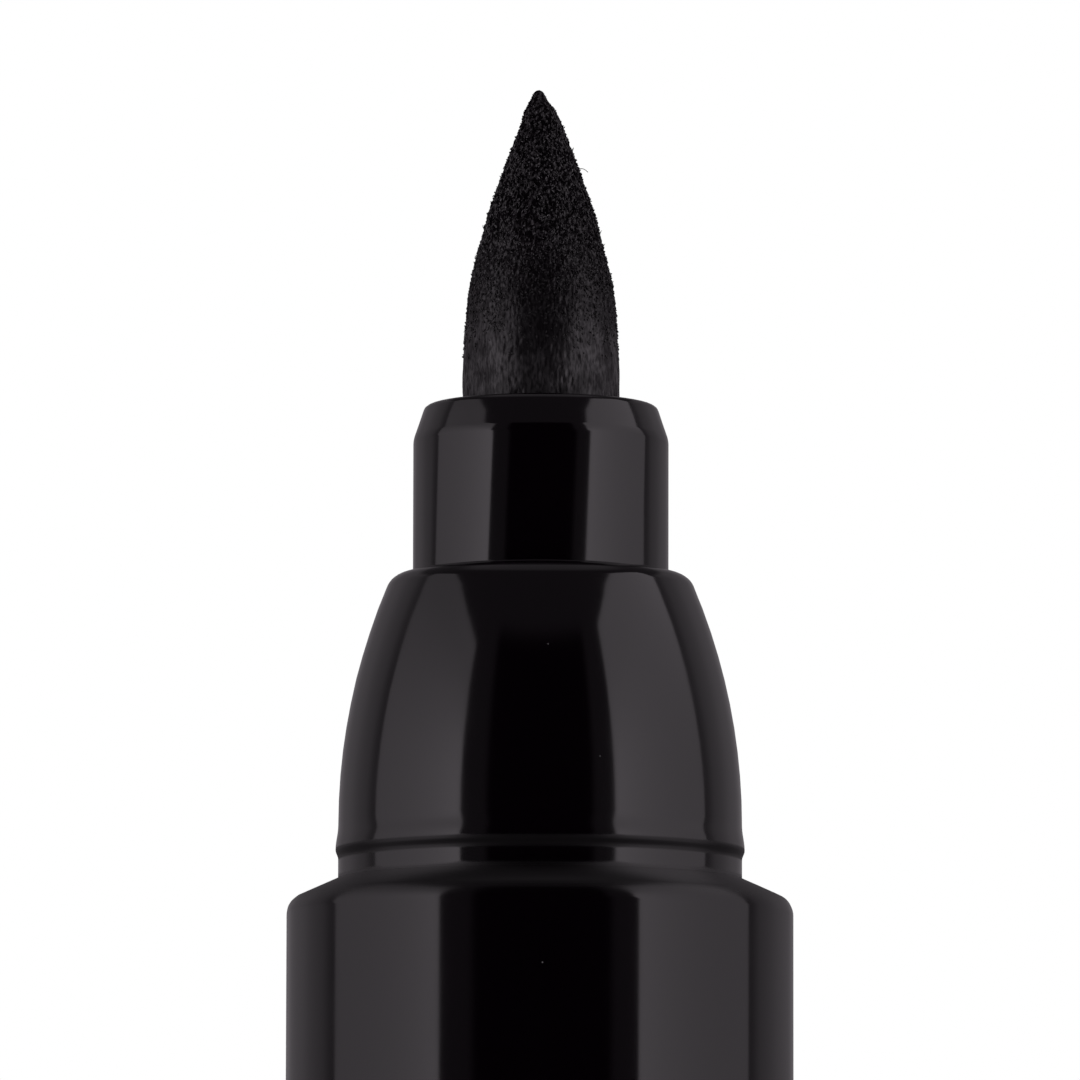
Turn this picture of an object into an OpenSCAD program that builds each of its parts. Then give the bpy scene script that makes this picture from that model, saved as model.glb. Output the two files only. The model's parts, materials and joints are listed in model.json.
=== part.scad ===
// Liquid eyeliner pen of the free-ink kind, standing nib up on its posted cap.
// A felt bullet nib sits in a collared holder. It draws ink through a fibre core from an
// inner tank, and a finned collector round the core takes up the ink that a warming tank
// pushes out. Two loose balls mix the ink when the pen is shaken. A sprung inner cap closes
// over the nib when the pen is capped. The pen's axis is Z, in millimetres, and the origin
// is the middle of the cap's closed end.

/* [Barrel] */
// Outer diameter of the barrel and the cap
barrel_d = 11.5; // [11:0.1:13]
// Length of the barrel from its tail face to the seat of the nose
barrel_l = 92; // [86:1:110]
// Wall of the barrel round the tank
barrel_wall = 1.1; // [0.8:0.05:1.25]
// Fall of the sloping front shoulder
shoulder_drop = 0.525; // [0.3:0.005:0.8]
// Rounding of the front shoulder's outer edge
shoulder_round = 0.46; // [0.2:0.02:0.6]
// Width of the barrel's rim round the tail plug's flange
tail_rim = 0.45; // [0.3:0.05:0.6]

/* [Nose] */
// Length of the straight seat, up to where the nose begins to narrow
seat_l = 1.24; // [1.1:0.02:1.6]
// Length of the curved part of the nose
ogive_l = 5.71; // [5:0.01:8]
// Diameter that the curve of the nose would reach at its top
nose_top_d = 6.74; // [6.5:0.02:7.4]
// Rounding of the nose's top edge
nose_round = 0.48; // [0.1:0.02:0.5]
// Wall of the skirt that plugs the nose into the barrel
skirt_wall = 0.7; // [0.5:0.05:0.8]
// Depth that the skirt reaches into the barrel
skirt_l = 18; // [16.5:0.5:24]
// Width of the ledge by which the nose rests on the barrel
seat_ledge = 0.27; // [0.2:0.01:0.3]
// Fillet at the foot of the seat
seat_fillet = 0.04; // [0.02:0.01:0.08]

/* [Snap bead] */
// Height of the bead that the cap snaps over
bead_h = 0.06; // [0.03:0.01:0.08]
// Distance from the end of the barrel to the bead
bead_off = 0.45; // [0.42:0.01:0.5]
// Length of the bead's steep flank, which holds the cap
bead_catch = 0.13; // [0.1:0.01:0.2]
// Length of the bead's straight top
bead_land = 0.14; // [0.1:0.01:0.22]
// Length of the bead's easy flank, which the cap rides up
bead_ramp = 0.3; // [0.15:0.01:0.32]

/* [Nib holder] */
// Diameter of the collar round the nib
collar_d = 5.82; // [5.5:0.01:6]
// Length of the collar above the nose
collar_l = 3.78; // [2.5:0.02:6]
// Radial width of the collar's chamfer
chamfer_w = 0.27; // [0.1:0.01:0.5]
// Length of the collar's chamfer along the pen
chamfer_l = 0.71; // [0.3:0.01:1]
// Width of the ledge by which the collar rests on the nose
collar_ledge = 0.29; // [0.2:0.01:0.4]
// Fillet at the foot of the collar
collar_fillet = 0.04; // [0.02:0.01:0.12]
// Width of the air grooves beside the nib
groove_w = 0.5; // [0.3:0.05:0.8]
// Depth of the air grooves beside the nib
groove_d = 0.22; // [0.1:0.02:0.3]
// Number of air grooves beside the nib
groove_count = 6; // [3:1:8]

/* [Nib] */
// Diameter of the nib
nib_d = 3.58; // [3.2:0.02:3.6]
// Length of the nib that stands out of the collar
nib_out = 7.36; // [6.5:0.02:8]
// Length of the nib that the holder grips
nib_in = 7.4; // [6:0.1:8]
// Half angle of the cone behind the nib's tip
nib_angle = 20.5; // [18:0.5:21]
// Radius of the curve from the nib's side to its cone
nib_curve_r = 13.8; // [8:0.2:15]
// Radius of the nib's tip
nib_tip_r = 0.2; // [0.15:0.05:0.4]

/* [Feed core] */
// Diameter of the fibre core
core_d = 1.8; // [1.5:0.05:2]
// Depth that the core is pushed into the nib
core_in_nib = 2; // [1.5:0.1:3]

/* [Ink collector] */
// Thickness of one fin
fin_t = 0.35; // [0.25:0.05:0.4]
// Gap between two fins
fin_gap = 0.35; // [0.25:0.05:0.4]
// Number of fins in one group
fin_count = 6; // [4:1:7]
// Number of groups of fins
group_count = 3; // [2:1:3]
// Wall of the collector's tube round the core
hub_wall = 0.75; // [0.5:0.05:1]
// Width of the air channel across the fins
channel_w = 0.9; // [0.5:0.1:1.5]
// Depth of the air hole through the flange and the spigot
channel_d = 0.8; // [0.4:0.05:1.1]
// Width of the ink slit across the fins, down to the core
slit_w = 0.2; // [0.12:0.02:0.4]
// Thickness of the flange that closes the skirt
flange_t = 1.15; // [0.8:0.05:1.5]
// Length of the spigot that carries the tank
spigot_l = 4; // [3:0.25:6]
// Length of the tube that stands out of the spigot into the tank
tail_tube_l = 2.8; // [1.5:0.1:4]

/* [Ink tank] */
// Radial gap between the tank and the narrow front of the barrel's bore
tank_gap = 0.225; // [0.1:0.025:0.4]
// Wall of the tank
tank_wall = 0.7; // [0.5:0.05:0.75]
// Thickness of the tank's closed end
tank_end = 1; // [0.7:0.1:1.5]
// Diameter of a mixing ball
ball_d = 3; // [2.5:0.05:3.1]
// Least gap between a ball and the tank's wall
ball_gap = 0.12; // [0.08:0.02:0.3]

/* [Tail plug] */
// Length of the spigot that the posted cap slides on
tail_spigot_l = 5.5; // [4.5:0.1:6]
// Thickness of the plug's flange
tail_flange_t = 0.8; // [0.6:0.05:1.2]
// Length of the plug inside the barrel, up to the tank
plug_l = 8.65; // [6:0.05:14]
// Depth of the cup that holds the tank's closed end
cup_l = 3; // [2:0.1:5]
// Wall of the hollow plug
plug_wall = 1; // [0.8:0.05:1.2]
// Height of the plug's two sealing ribs
rib_h = 0.12; // [0.06:0.02:0.2]
// Width of a sealing rib
rib_w = 0.5; // [0.3:0.05:0.8]

/* [Cap] */
// Length of the cap
cap_l = 38; // [36:0.5:48]
// Wall of the cap's mouth, which leaves the seat at the nose and at the tail its diameter
cap_wall = 1.075; // [0.95:0.005:1.2]
// Thickness of the cap's closed end
cap_end = 1.5; // [1:0.1:2.5]
// Rounding of the closed end's edge
cap_round = 0.8; // [0.3:0.1:1.5]
// Rounding of the cap's rim
rim_round = 0.15; // [0.05:0.05:0.25]
// Chamfer inside the cap's rim
lead_in = 0.25; // [0.1:0.05:0.35]
// Depth of the cap's mouth, down to the guide sleeve
mouth_l = 9.4; // [9:0.1:12]

/* [Inner cap] */
// Wall of the inner cap round its chamber
inner_wall = 0.7; // [0.5:0.05:0.75]
// Depth of the inner cap's rim below the cap's rim, at rest
inner_depth = 6.3; // [6:0.05:6.6]
// Wall of the inner cap's closed end
inner_end = 1; // [0.7:0.1:1.4]
// Free length left over the nib's tip
tip_room = 1; // [0.5:0.1:2]
// Length of the sealing land inside the inner cap's rim
seal_l = 1.2; // [0.8:0.1:2]
// Depth by which the chamber behind the sealing land is wider
seal_step = 0.12; // [0.06:0.02:0.2]
// Thickness of the inner cap's flange
inner_flange_t = 0.8; // [0.5:0.05:1.2]
// Length of the guide sleeve
sleeve_l = 8.6; // [6:0.1:8.8]
// Radial step by which the sleeve's pocket is narrower than the cap's mouth
sleeve_step = 0.165; // [0.1:0.005:0.2]
// Width of the ledge that the guide sleeve stands on
sleeve_ledge = 0.15; // [0.1:0.01:0.2]

/* [Spring] */
// Thickness of the spring's wire
wire_d = 0.5; // [0.3:0.05:0.6]
// Radial gap round the spring
spring_room = 0.55; // [0.3:0.05:0.8]
// Number of turns of the spring
turn_count = 9; // [6:1:12]
// Rise of the first and last turn
end_pitch = 0.98; // [0.95:0.01:1.2]
// Height of the ring that centres the spring
spring_ring_h = 1.6; // [1:0.1:3]
// Wall of the ring that centres the spring
spring_ring_wall = 0.6; // [0.4:0.05:0.9]

/* [Clearances] */
// Radial gap between pieces that are pressed together
press_gap = 0.02; // [0.01:0.005:0.03]
// Gap between faces that rest on each other inside the pen
face_gap = 0.05; // [0.02:0.01:0.08]
// Gap at the seams that show, of the nose on the barrel and of the collar on the nose
seam_gap = 0.01; // [0.005:0.005:0.03]
// Radial gap between the cap and the bead that it snaps over
snap_gap = 0.03; // [0.02:0.005:0.04]
// Radial gap between the inner cap and what it slides in or on
slide_gap = 0.05; // [0.03:0.01:0.08]
// Gap that shows between the cap's rim and the barrel
cap_gap = 0.15; // [0.08:0.01:0.25]

/* [Hidden] */
$fn = 96;
arc_steps = 10;
flank_steps = 6;
wire_sides = 6;
turn_rings = 8;
overrun = cap_end;

gloss_black = [0.015, 0.015, 0.017];
felt_black = [0.05, 0.05, 0.053];
natural = [0.86, 0.87, 0.86];
steel = [0.62, 0.63, 0.65];

// Heights of the faces that the pieces share
tail_z = cap_l + cap_gap;
seat_z = tail_z + barrel_l;
ogive_z = seat_z + seat_l;
nose_z = ogive_z + ogive_l;
collar_z = nose_z + seam_gap;
rim_z = collar_z + collar_l;
tip_z = rim_z + nib_out;
nib_foot_z = rim_z - nib_in;
skirt_z = seat_z - skirt_l;

// Barrel
barrel_r = barrel_d / 2;
seat_r = barrel_r - cap_wall - snap_gap - bead_h;
bore_r = barrel_r - barrel_wall;
skirt_r = seat_r - seat_ledge;
front_bore_r = skirt_r + press_gap;
flange_r = barrel_r - tail_rim;
shoulder_angle = atan2(shoulder_drop, barrel_r - seat_r);
shoulder_c = [barrel_r - shoulder_round,
              seat_z - shoulder_drop - shoulder_round * tan((90 - shoulder_angle) / 2)];

// Nose
ogive_fall = seat_r - nose_top_d / 2;
ogive_r = (pow(ogive_l, 2) + pow(ogive_fall, 2)) / (2 * ogive_fall);
ogive_c = [seat_r - ogive_r, ogive_z];
nose_edge_z = nose_z - nose_round;
nose_edge_c = [ogive_c.x + sqrt(pow(ogive_r - nose_round, 2) - pow(nose_edge_z - ogive_z, 2)),
               nose_edge_z];
nose_edge_angle = atan2(nose_edge_c.y - ogive_c.y, nose_edge_c.x - ogive_c.x);
cavity_r = skirt_r - skirt_wall;
neck_r = collar_d / 2 - collar_ledge;
seat_fillet_c = [seat_r + seat_fillet, seat_z + seam_gap + seat_fillet];
throat_share = 0.74;
throat_z = ogive_z + throat_share * ogive_l;
cavity_share = 0.26;
cavity_z = ogive_z + cavity_share * ogive_l;
bead_mid = bead_off + bead_catch + bead_land / 2;
bead_end = bead_off + bead_catch + bead_land + bead_ramp;

// Nib and its holder
collar_r = collar_d / 2;
collar_fillet_c = [collar_r + collar_fillet, collar_z + collar_fillet];
nib_r = nib_d / 2;
nib_bore_r = nib_r + press_gap;
core_r = core_d / 2;
core_bore_r = core_r + slide_gap;
holder_wall_share = 0.65;
holder_tube_r = nib_bore_r + holder_wall_share * (neck_r - nib_bore_r);
holder_foot_share = 0.23;
holder_foot_z = nib_foot_z - holder_foot_share * nib_in;
nib_tip_c = [0, tip_z - nib_tip_r];
nib_tangent = [nib_tip_r * cos(nib_angle), nib_tip_c.y + nib_tip_r * sin(nib_angle)];
nib_curve_c_x = nib_r - nib_curve_r;
nib_curve_end_x = nib_curve_c_x + nib_curve_r * cos(nib_angle);
nib_curve_end_z = nib_tangent.y - (nib_curve_end_x - nib_tangent.x) / tan(nib_angle);
nib_curve_c = [nib_curve_c_x, nib_curve_end_z - nib_curve_r * sin(nib_angle)];

// Collector
hub_r = core_bore_r + hub_wall;
fin_r = cavity_r - press_gap - slide_gap;
fin_pitch = fin_t + fin_gap;
group_gap = 2 * fin_pitch;
group_l = fin_count * fin_pitch - fin_gap;
fins_z = skirt_z + fin_pitch;
collector_top_z = holder_foot_z - face_gap;
boss_z = fins_z + group_count * group_l + (group_count - 1) * group_gap + fin_gap;
flange_z = skirt_z - face_gap - flange_t;
spigot_z = flange_z - spigot_l;
tube_z = spigot_z - tail_tube_l;
core_z = tube_z + tail_tube_l / 4;
tank_r = front_bore_r - tank_gap;
spigot_r = tank_r - tank_wall - press_gap;
collector_flange_r = front_bore_r - slide_gap;

// Tank and balls
tank_bore_r = tank_r - tank_wall;
tank_top_z = flange_z - face_gap;
tank_z = tail_z + plug_l + face_gap;
tank_round = tank_end / 2;
ball_r = ball_d / 2;
ball_x = tank_bore_r - ball_gap - ball_r;
ball_z = tank_z + tank_end + face_gap + ball_r;

// Tail plug
insert_r = bore_r - press_gap - rib_h;
cup_r = tank_r + slide_gap;
cup_z = tail_z + plug_l;
plug_bore_r = min(cup_r, seat_r) - plug_wall;
tail_end_z = tail_z - tail_spigot_l;
tail_round = seat_ledge;

// Cap
mouth_r = barrel_r - cap_wall;
mouth_z = cap_l - mouth_l;
groove_r = mouth_r + bead_h;
pocket_r = mouth_r - sleeve_step;
sleeve_r = pocket_r - press_gap;
chamber_r = pocket_r - sleeve_ledge;

// Inner cap
inner_rim_z = cap_l - inner_depth;
seal_r = collar_d / 2 + slide_gap;
inner_r = seal_r + seal_step + inner_wall;
inner_flange_r = chamber_r - 2 * slide_gap;
chamber_depth = collar_l + nib_out + tip_room;
inner_floor_z = inner_rim_z - chamber_depth;
inner_z = inner_floor_z - inner_end;
inner_flange_top_z = inner_z + inner_flange_t;
sleeve_z = inner_flange_top_z + face_gap;

// Spring
spring_r = chamber_r - spring_room - wire_d / 2;
spring_low_z = cap_end + face_gap + wire_d / 2;
spring_high_z = inner_z - face_gap - wire_d / 2;
spring_ring_r = spring_r * cos(180 / turn_rings) - wire_d / 2 - slide_gap;
mid_pitch = (spring_high_z - spring_low_z - 2 * end_pitch) / (turn_count - 2);

// Points along an arc, leaving out as many at its start as first says
function arc(c, r, from, to, first = 0) =
    [for (i = [first : arc_steps]) let (a = from + (to - from) * i / arc_steps)
        c + r * [cos(a), sin(a)]];

// The points of an outline from its last to its first
function reverse(points) = [for (i = [len(points) - 1 : -1 : 0]) points[i]];

// Outline of one flank of a snap bead, from its foot on the seat up to its top
function flank(foot_z, top_z) =
    [for (i = [0 : flank_steps]) let (rise_share = (1 - cos(180 * i / flank_steps)) / 2)
        [seat_r + bead_h * rise_share, foot_z + (top_z - foot_z) * i / flank_steps]];

// Outline of a snap bead, from the barrel's end towards the end that the cap comes from
function bead(z, way) = concat(
    flank(z + way * bead_off, z + way * (bead_off + bead_catch)),
    reverse(flank(z + way * bead_end, z + way * (bead_end - bead_ramp))));

// Height of the spring's middle line after a number of turns
function spring_height(t) = spring_low_z + min(t, 1) * end_pitch
    + min(max(t - 1, 0), turn_count - 2) * mid_pitch + max(t - turn_count + 1, 0) * end_pitch;

// A place on the spring's middle line: its centre, its outward direction and the wire's side
function spring_place(t, along = 0) = let (a = 360 * t, out = [cos(a), sin(a), 0])
    [spring_r * out + [0, 0, spring_height(t)] + along * [-sin(a), cos(a), 0], out, [0, 0, 1]];

spring_places = concat([spring_place(0, -wire_d)],
    [for (i = [0 : turn_count * turn_rings]) spring_place(i / turn_rings)],
    [spring_place(turn_count, wire_d)]);
ring_count = len(spring_places);
spring_points = [for (p = spring_places) for (s = [0 : wire_sides - 1])
    let (a = 360 * s / wire_sides) p[0] + wire_d / 2 * (cos(a) * p[1] + sin(a) * p[2])];
spring_sides = [for (i = [0 : ring_count - 2]) for (s = [0 : wire_sides - 1])
    let (low = i * wire_sides, next = (s + 1) % wire_sides)
    each [[low + s, low + wire_sides + s, low + next],
          [low + next, low + wire_sides + s, low + wire_sides + next]]];
spring_start = [for (s = [1 : wire_sides - 2]) [0, s, s + 1]];
last_ring = (ring_count - 1) * wire_sides;
spring_stop = [for (s = [1 : wire_sides - 2]) [last_ring, last_ring + s + 1, last_ring + s]];

// Least gap of the spring to itself, between places more than half a turn apart
spring_gap = min([for (i = [0 : ring_count - 1])
    for (j = [i + turn_rings / 2 + 1 : 1 : ring_count - 1])
    norm(spring_places[i][0] - spring_places[j][0])]) - wire_d;
echo(spring_gap = spring_gap);

// Turns an outline, given as radius and height, about the pen's axis
module turned(outline) {
    rotate_extrude()
        polygon(outline);
}

module nib() {
    color(felt_black)
        turned(concat(
            [[core_r + slide_gap, nib_foot_z + face_gap], [nib_r, nib_foot_z + face_gap]],
            arc(nib_curve_c, nib_curve_r, 0, nib_angle),
            arc(nib_tip_c, nib_tip_r, nib_angle, 90),
            [[0, nib_foot_z + core_in_nib + face_gap],
             [core_r + slide_gap, nib_foot_z + core_in_nib + face_gap]]));
}

module nib_holder() {
    color(gloss_black)
        difference() {
            turned(concat(
                [[core_bore_r, holder_foot_z], [holder_tube_r, holder_foot_z],
                 [holder_tube_r, throat_z], [neck_r, throat_z], [neck_r, collar_z]],
                arc(collar_fillet_c, collar_fillet, 270, 180),
                [[collar_r, rim_z - chamfer_l], [collar_r - chamfer_w, rim_z],
                 [nib_bore_r, rim_z], [nib_bore_r, nib_foot_z], [core_bore_r, nib_foot_z]]));
            for (i = [0 : groove_count - 1])
                rotate([0, 0, 360 * i / groove_count])
                    translate([0, -groove_w / 2, nib_foot_z])
                        cube([nib_bore_r + groove_d, groove_w, nib_in + overrun]);
        }
}

module nose_cone() {
    color(gloss_black)
        turned(concat(
            [[cavity_r, skirt_z], [skirt_r, skirt_z], [skirt_r, seat_z + seam_gap]],
            arc(seat_fillet_c, seat_fillet, 270, 180),
            bead(seat_z, 1),
            arc(ogive_c, ogive_r, 0, nose_edge_angle),
            arc(nose_edge_c, nose_round, nose_edge_angle, 90, 1),
            [[neck_r + press_gap, nose_z], [neck_r + press_gap, throat_z],
             [cavity_r, cavity_z]]));
}

module feed_core() {
    color(felt_black)
        translate([0, 0, core_z])
            cylinder(r = core_r, h = nib_foot_z + core_in_nib - core_z);
}

// One group of fins stands on each step of the collector's tube
module ink_collector() {
    color(natural)
        difference() {
            turned(concat(
                [[core_bore_r, tube_z], [hub_r, tube_z], [hub_r, spigot_z],
                 [spigot_r - press_gap, spigot_z], [spigot_r, spigot_z + spigot_l / 4],
                 [spigot_r, flange_z], [collector_flange_r, flange_z],
                 [collector_flange_r, flange_z + flange_t], [hub_r, flange_z + flange_t]],
                [for (g = [0 : group_count - 1]) for (i = [0 : fin_count - 1])
                    let (z = fins_z + g * (group_l + group_gap) + i * fin_pitch)
                    each [[hub_r, z], [fin_r, z], [fin_r, z + fin_t], [hub_r, z + fin_t]]],
                [[hub_r, boss_z], [holder_tube_r, boss_z], [holder_tube_r, collector_top_z],
                 [core_bore_r, collector_top_z]]));
            translate([hub_r, -channel_w / 2, spigot_z - overrun])
                cube([channel_d, channel_w, skirt_z - spigot_z + 2 * overrun]);
            translate([hub_r, -channel_w / 2, fins_z - fin_gap])
                cube([fin_r, channel_w, boss_z - fins_z]);
            translate([-fin_r - overrun, -slit_w / 2, fins_z - fin_gap])
                cube([fin_r + overrun, slit_w, boss_z - fins_z]);
        }
}

module ink_tank() {
    color(natural)
        turned(concat(
            [[0, tank_z], [tank_r - tank_round, tank_z]],
            arc([tank_r - tank_round, tank_z + tank_round], tank_round, -90, 0, 1),
            [[tank_r, tank_top_z], [tank_bore_r, tank_top_z], [tank_bore_r, tank_z + tank_end],
             [0, tank_z + tank_end]]));
}

module mixing_ball(x) {
    color(steel)
        translate([x, 0, ball_z])
            sphere(r = ball_r);
}

module mixing_ball_1() {
    mixing_ball(ball_x);
}

module mixing_ball_2() {
    mixing_ball(-ball_x);
}

module barrel() {
    color(gloss_black)
        turned(concat(
            [[flange_r + press_gap, tail_z], [barrel_r, tail_z]],
            arc(shoulder_c, shoulder_round, 0, 90 - shoulder_angle),
            [[seat_r, seat_z], [front_bore_r, seat_z],
             [front_bore_r, flange_z - face_gap], [bore_r, tank_top_z - (bore_r - front_bore_r)],
             [bore_r, tail_z + tail_flange_t + face_gap],
             [flange_r + press_gap, tail_z + tail_flange_t + face_gap]]));
}

// A rib runs round the plug at each height in the list
function sealing_ribs(heights) =
    [for (z = heights) each [[insert_r, z - rib_w / 2], [insert_r + rib_h, z - rib_w / 4],
                             [insert_r + rib_h, z + rib_w / 4], [insert_r, z + rib_w / 2]]];

module tail_plug() {
    color(gloss_black)
        turned(concat(
            [[0, tail_end_z], [seat_r - tail_round, tail_end_z]],
            arc([seat_r - tail_round, tail_end_z + tail_round], tail_round, -90, 0, 1),
            reverse(bead(tail_z, -1)),
            [[seat_r, tail_z], [flange_r, tail_z], [flange_r, tail_z + tail_flange_t],
             [insert_r, tail_z + tail_flange_t]],
            sealing_ribs([tail_z + tail_flange_t + plug_l / 4, cup_z - plug_l / 4]),
            [[insert_r, cup_z + cup_l], [cup_r, cup_z + cup_l], [cup_r, cup_z],
             [plug_bore_r, cup_z], [plug_bore_r, tail_end_z + plug_wall],
             [0, tail_end_z + plug_wall]]));
}

module cap_shell() {
    color(gloss_black)
        turned(concat(
            [[0, 0], [barrel_r - cap_round, 0]],
            arc([barrel_r - cap_round, cap_round], cap_round, -90, 0, 1),
            arc([barrel_r - rim_round, cap_l - rim_round], rim_round, 0, 90),
            [[mouth_r + lead_in, cap_l], [mouth_r, cap_l - lead_in],
             [groove_r, tail_z - bead_mid], [mouth_r, tail_z - bead_end],
             [mouth_r, mouth_z], [pocket_r, mouth_z],
             [pocket_r, sleeve_z - face_gap], [chamber_r, sleeve_z - face_gap],
             [chamber_r, cap_end], [spring_ring_r, cap_end],
             [spring_ring_r, cap_end + spring_ring_h],
             [spring_ring_r - spring_ring_wall, cap_end + spring_ring_h],
             [spring_ring_r - spring_ring_wall, cap_end], [0, cap_end]]));
}

module guide_sleeve() {
    color(natural)
        turned([[inner_r + slide_gap, sleeve_z], [sleeve_r, sleeve_z],
                [sleeve_r, sleeve_z + sleeve_l - slide_gap],
                [sleeve_r - slide_gap, sleeve_z + sleeve_l], [inner_r + slide_gap, sleeve_z + sleeve_l]]);
}

module inner_cap() {
    color(natural)
        turned([[0, inner_z], [inner_flange_r, inner_z], [inner_flange_r, inner_flange_top_z],
                [inner_r, inner_flange_top_z], [inner_r, inner_rim_z - seal_step],
                [inner_r - seal_step, inner_rim_z], [seal_r + seal_step, inner_rim_z],
                [seal_r, inner_rim_z - seal_step], [seal_r, inner_rim_z - seal_l],
                [seal_r + seal_step, inner_rim_z - seal_l - seal_step],
                [seal_r + seal_step, inner_floor_z], [0, inner_floor_z]]);
}

module inner_cap_spring() {
    color(steel)
        polyhedron(spring_points, concat(spring_start, spring_sides, spring_stop));
}

nib();
nib_holder();
nose_cone();
feed_core();
ink_collector();
ink_tank();
mixing_ball_1();
mixing_ball_2();
barrel();
tail_plug();
cap_shell();
guide_sleeve();
inner_cap();
inner_cap_spring();
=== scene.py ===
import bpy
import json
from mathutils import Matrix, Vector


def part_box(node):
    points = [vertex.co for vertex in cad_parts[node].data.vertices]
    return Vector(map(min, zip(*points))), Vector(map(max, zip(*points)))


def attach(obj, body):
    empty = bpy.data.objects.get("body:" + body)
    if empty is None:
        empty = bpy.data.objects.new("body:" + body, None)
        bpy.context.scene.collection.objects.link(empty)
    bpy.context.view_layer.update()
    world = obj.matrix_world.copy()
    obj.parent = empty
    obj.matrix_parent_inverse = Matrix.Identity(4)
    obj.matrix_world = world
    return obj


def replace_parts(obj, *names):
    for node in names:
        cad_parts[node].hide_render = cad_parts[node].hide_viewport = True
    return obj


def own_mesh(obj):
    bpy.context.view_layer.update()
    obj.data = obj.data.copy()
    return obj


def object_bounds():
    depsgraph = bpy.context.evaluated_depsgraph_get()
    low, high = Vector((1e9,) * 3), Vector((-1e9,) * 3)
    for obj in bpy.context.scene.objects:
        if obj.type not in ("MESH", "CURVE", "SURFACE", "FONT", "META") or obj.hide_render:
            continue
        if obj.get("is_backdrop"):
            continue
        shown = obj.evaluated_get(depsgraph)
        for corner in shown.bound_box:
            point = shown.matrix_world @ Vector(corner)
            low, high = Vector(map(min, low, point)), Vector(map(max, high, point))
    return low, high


bl_info = {
    "name": "Liquid eyeliner pen",
    "version": (1, 0, 0),
    "blender": (4, 5, 0),
    "location": "3D View > Sidebar > Eyeliner pen",
    "description": "Dresses the pen's solids with a felt nib, gloss black shells and a stage",
    "category": "Add Mesh",
}

import json
import math

import bmesh
import bpy
from bpy.props import FloatProperty, FloatVectorProperty, IntProperty, PointerProperty
from bpy.types import Operator, Panel, PropertyGroup
from mathutils import Vector, noise

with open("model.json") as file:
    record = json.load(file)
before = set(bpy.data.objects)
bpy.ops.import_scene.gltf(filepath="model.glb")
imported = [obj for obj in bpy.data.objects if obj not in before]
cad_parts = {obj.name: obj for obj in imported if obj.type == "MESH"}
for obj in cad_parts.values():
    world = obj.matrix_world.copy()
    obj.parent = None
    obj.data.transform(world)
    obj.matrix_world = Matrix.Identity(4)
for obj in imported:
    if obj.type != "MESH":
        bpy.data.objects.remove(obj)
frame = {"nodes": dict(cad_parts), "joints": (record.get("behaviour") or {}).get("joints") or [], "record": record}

RECORD = frame["record"]
MM = 0.001
TURN = 2 * math.pi
MATT = 0.6  # roughness of a surface without gloss

# Points this near are one, points this near in height are one ring, a point that misses a span by
# this share of it is still in it, and an edge sharper than this stays sharp
MERGE = 0.00005 * MM
RING = 0.01 * MM
SLACK = 0.001
SHARP = math.radians(19)

# Share of the seat's radius past which a point is on the outside, the height over the shoulder up
# to which the seat's foot leans, and how far inward a normal may point and still be an outer one
SKIN = 0.985
FOOT = 0.045 * MM
INWARD = -0.05

# Width of each kind of unevenness of the felt, and its squeeze along the pen
GRAINS = {
    "cut": (0.05 * MM, 0.7),
    "fine cut": (0.024 * MM, 0.8),
    "ridge": (0.055 * MM, 0.12),
    "wide ridge": (0.11 * MM, 0.3),
    "pit": (0.09 * MM, 0.6),
    "swell": (0.9 * MM, 1),
}
PITTED = (0.28, 0.5)  # levels of the noise where a pit begins and where it is full
ROUGH_FROM = 0.3 * MM  # height over the collar from which the felt is fully uneven
NARROW = 0.4 * MM  # radius below which its unevenness shrinks


# Settings that a user would change

def length(name, description, default, **limits):
    """A size in metres."""
    return FloatProperty(
        name=name, description=description, default=default, precision=6,
        subtype="DISTANCE", unit="LENGTH", **limits,
    )


def angle(name, description, degrees):
    """An angle that is given in degrees and kept in radians."""
    return FloatProperty(
        name=name, description=description, default=math.radians(degrees),
        subtype="ANGLE", unit="ROTATION",
    )


def colour(name, description, default):
    """A linear colour."""
    return FloatVectorProperty(
        name=name, description=description, default=default, size=3,
        subtype="COLOR", min=0, max=1,
    )


def share(name, description, default, top=1):
    """A plain number."""
    return FloatProperty(name=name, description=description, default=default, min=0, max=top)


def ends(name, description, default):
    """A few plain numbers that belong together."""
    return FloatVectorProperty(
        name=name, description=description, default=default, size=len(default), min=0,
    )


def in_mm(values):
    """Millimetres as metres."""
    return [MM * v for v in values]


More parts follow.
